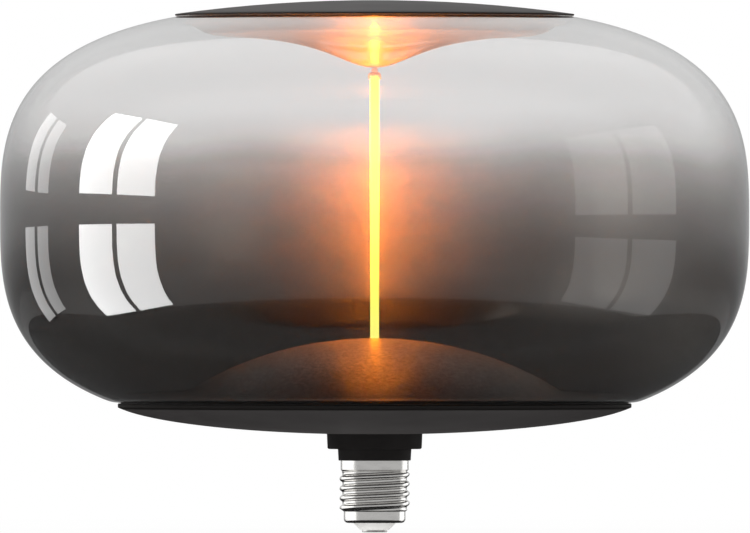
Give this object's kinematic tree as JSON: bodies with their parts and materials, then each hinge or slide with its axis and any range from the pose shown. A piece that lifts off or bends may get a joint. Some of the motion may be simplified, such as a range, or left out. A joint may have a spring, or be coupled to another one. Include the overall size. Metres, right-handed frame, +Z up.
{
  "type": "led filament bulb",
  "caption": "Wide barrel-shaped smoked glass filament bulb on a screw cap, with one upright filament held by a magnet under a funnel in the glass.",
  "frame": {"origin": "centre of the flat face of the end contact, the lowest point of the bulb as it stands in the picture", "axes": "+Z runs up the axis of the bulb, from the screw cap to the top cover; X and Y are free, because the bulb is round"},
  "size_m": [0.28, 0.28, 0.1988],
  "materials": {
    "smoked_glass": "blown glass with a thin smoked mirror tint, clear above and dark below",
    "clear_glass": "clear pressed glass",
    "satin_black": "satin black, fine even grain",
    "collar_black": "black moulded plastic",
    "nickel_sheet": "nickel plated rolled sheet",
    "insulator_white": "pale moulded insulator",
    "contact_tin": "tinned contact button",
    "seal_black": "black silicone ring",
    "bond_clear": "clear cured resin",
    "magnet_nickel": "nickel plated magnet",
    "bright_steel": "zinc plated steel",
    "phosphor_amber": "amber phosphor in silicone, lit",
    "tip_silicone": "clear silicone cap",
    "lead_wire": "bright lead-in wire",
    "wire_brown": "brown sleeve",
    "wire_blue": "blue sleeve",
    "board_green": "green circuit board",
    "moulded_black": "black moulded body",
    "capacitor_can": "dark sleeved can",
    "film_red": "dipped film body",
    "ferrite": "sintered ferrite",
    "copper_winding": "enamelled copper",
    "resistor_blue": "coated body"
  },
  "bodies": {
    "root": {"glass_globe": "smoked_glass", "glass_stem": "clear_glass", "top_cover": "satin_black", "bottom_dish": "satin_black", "collar": "collar_black", "screw_shell": "nickel_sheet", "cap_insulator": "insulator_white", "centre_contact": "contact_tin", "dish_seal": "seal_black", "cover_bond": "bond_clear", "magnet_bed": "bond_clear", "lift_magnet": "magnet_nickel", "tip_pellet": "bright_steel", "filament": "phosphor_amber", "filament_tip_cap": "tip_silicone", "lead_in_wire_plus": "lead_wire", "lead_in_wire_minus": "lead_wire", "contact_wire": "wire_brown", "shell_wire": "wire_blue", "driver_board": "board_green", "board_screws": "bright_steel", "collar_screws": "bright_steel", "bridge_rectifier": "moulded_black", "driver_chip": "moulded_black", "bulk_capacitor": "capacitor_can", "film_capacitor": "film_red", "choke_core": "ferrite", "choke_winding": "copper_winding", "fusible_resistor": "resistor_blue"}
  },
  "joints": []
}
